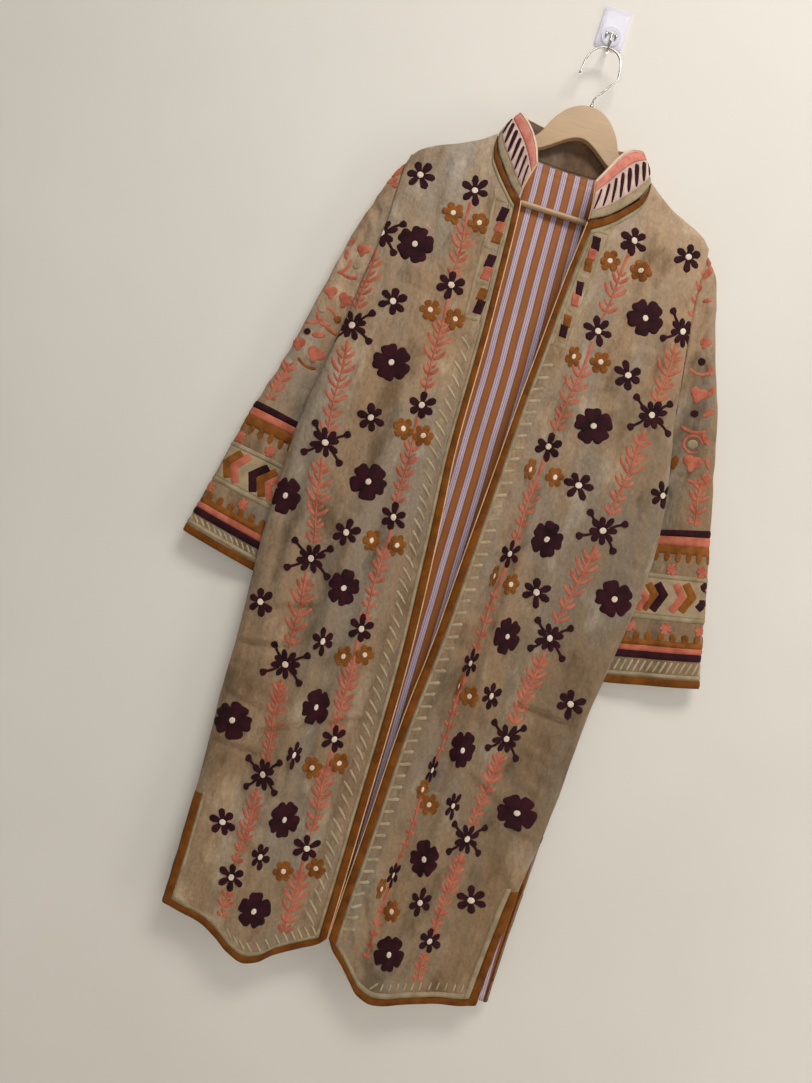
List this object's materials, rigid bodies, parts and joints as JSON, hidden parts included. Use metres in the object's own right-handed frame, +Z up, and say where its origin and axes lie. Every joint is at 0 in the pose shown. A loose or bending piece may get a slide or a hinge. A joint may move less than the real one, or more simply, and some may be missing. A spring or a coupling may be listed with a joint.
{
  "type": "chapan robe on a hanger and wall hook",
  "caption": "Open-fronted embroidered velvet robe with a stand collar, hanging on a wooden hanger from a small wall hook.",
  "frame": {"origin": "middle of the wall pad's back face, on the wall", "axes": "+Z up, +Y into the wall, -Y out of the robe's front, +X to the viewer's right"},
  "size_m": [0.7541, 0.056, 1.4278],
  "materials": {
    "velvet": "soft taupe velvet with a short nap",
    "collar": "embroidered cloth, chain stitch in cream, coral, purple and sage",
    "facing": "plain taupe velvet, inside of the collar",
    "lining": "striped cotton, ochre and lilac",
    "braid": "ochre silk braid, corded",
    "wood": "pale lotus wood, satin lacquer",
    "steel": "bright plated steel wire",
    "clear": "cloudy clear plastic"
  },
  "bodies": {
    "root": {"front_left": "velvet", "front_right": "velvet", "back": "velvet", "sleeve_left": "velvet", "sleeve_right": "velvet", "collar": "collar", "collar_facing": "facing", "lining_back": "lining", "braid_front_left": "braid", "braid_front_right": "braid", "braid_back": "braid", "braid_cuff_left": "braid", "braid_cuff_right": "braid", "hanger_body": "wood", "hanger_bar": "wood", "hanger_hook": "steel", "wall_hook": "steel", "wall_pad": "clear", "hook_disc": "clear"}
  },
  "joints": []
}
